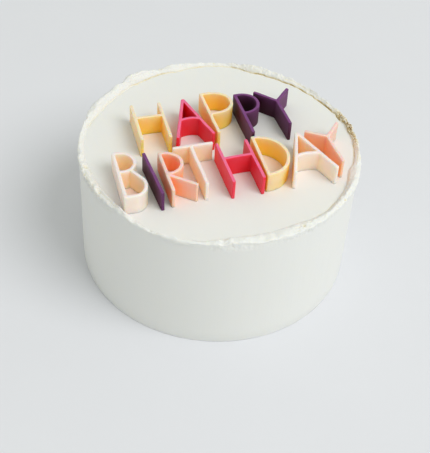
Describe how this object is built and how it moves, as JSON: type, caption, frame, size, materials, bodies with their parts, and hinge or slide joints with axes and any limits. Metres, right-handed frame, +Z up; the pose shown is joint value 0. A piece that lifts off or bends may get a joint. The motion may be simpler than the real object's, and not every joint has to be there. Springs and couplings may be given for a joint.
{
  "type": "birthday cake",
  "caption": "Round drum cake in smooth white icing with a torn craggy lip, and slim block-capital candles in soft warm colours standing in rows on its flat top",
  "frame": {"origin": "middle of the flat underside", "axes": "+X along the rows of letters in reading order, -Y the front from which they read, +Z up"},
  "size_m": [0.2014, 0.2002, 0.1118],
  "materials": {
    "icing": "matte",
    "yellow_wax": "satin",
    "raspberry_wax": "satin",
    "purple_wax": "satin",
    "peach_wax": "satin",
    "salmon_wax": "satin"
  },
  "bodies": {
    "root": {"cake": "icing", "candle_01_h": "yellow_wax", "candle_02_a": "raspberry_wax", "candle_03_p": "yellow_wax", "candle_04_p": "purple_wax", "candle_05_y": "purple_wax", "candle_06_b": "peach_wax", "candle_07_i": "purple_wax", "candle_08_r": "salmon_wax", "candle_09_t": "peach_wax", "candle_10_h": "raspberry_wax", "candle_11_d": "yellow_wax", "candle_12_a": "peach_wax", "candle_13_y": "salmon_wax"}
  },
  "joints": []
}
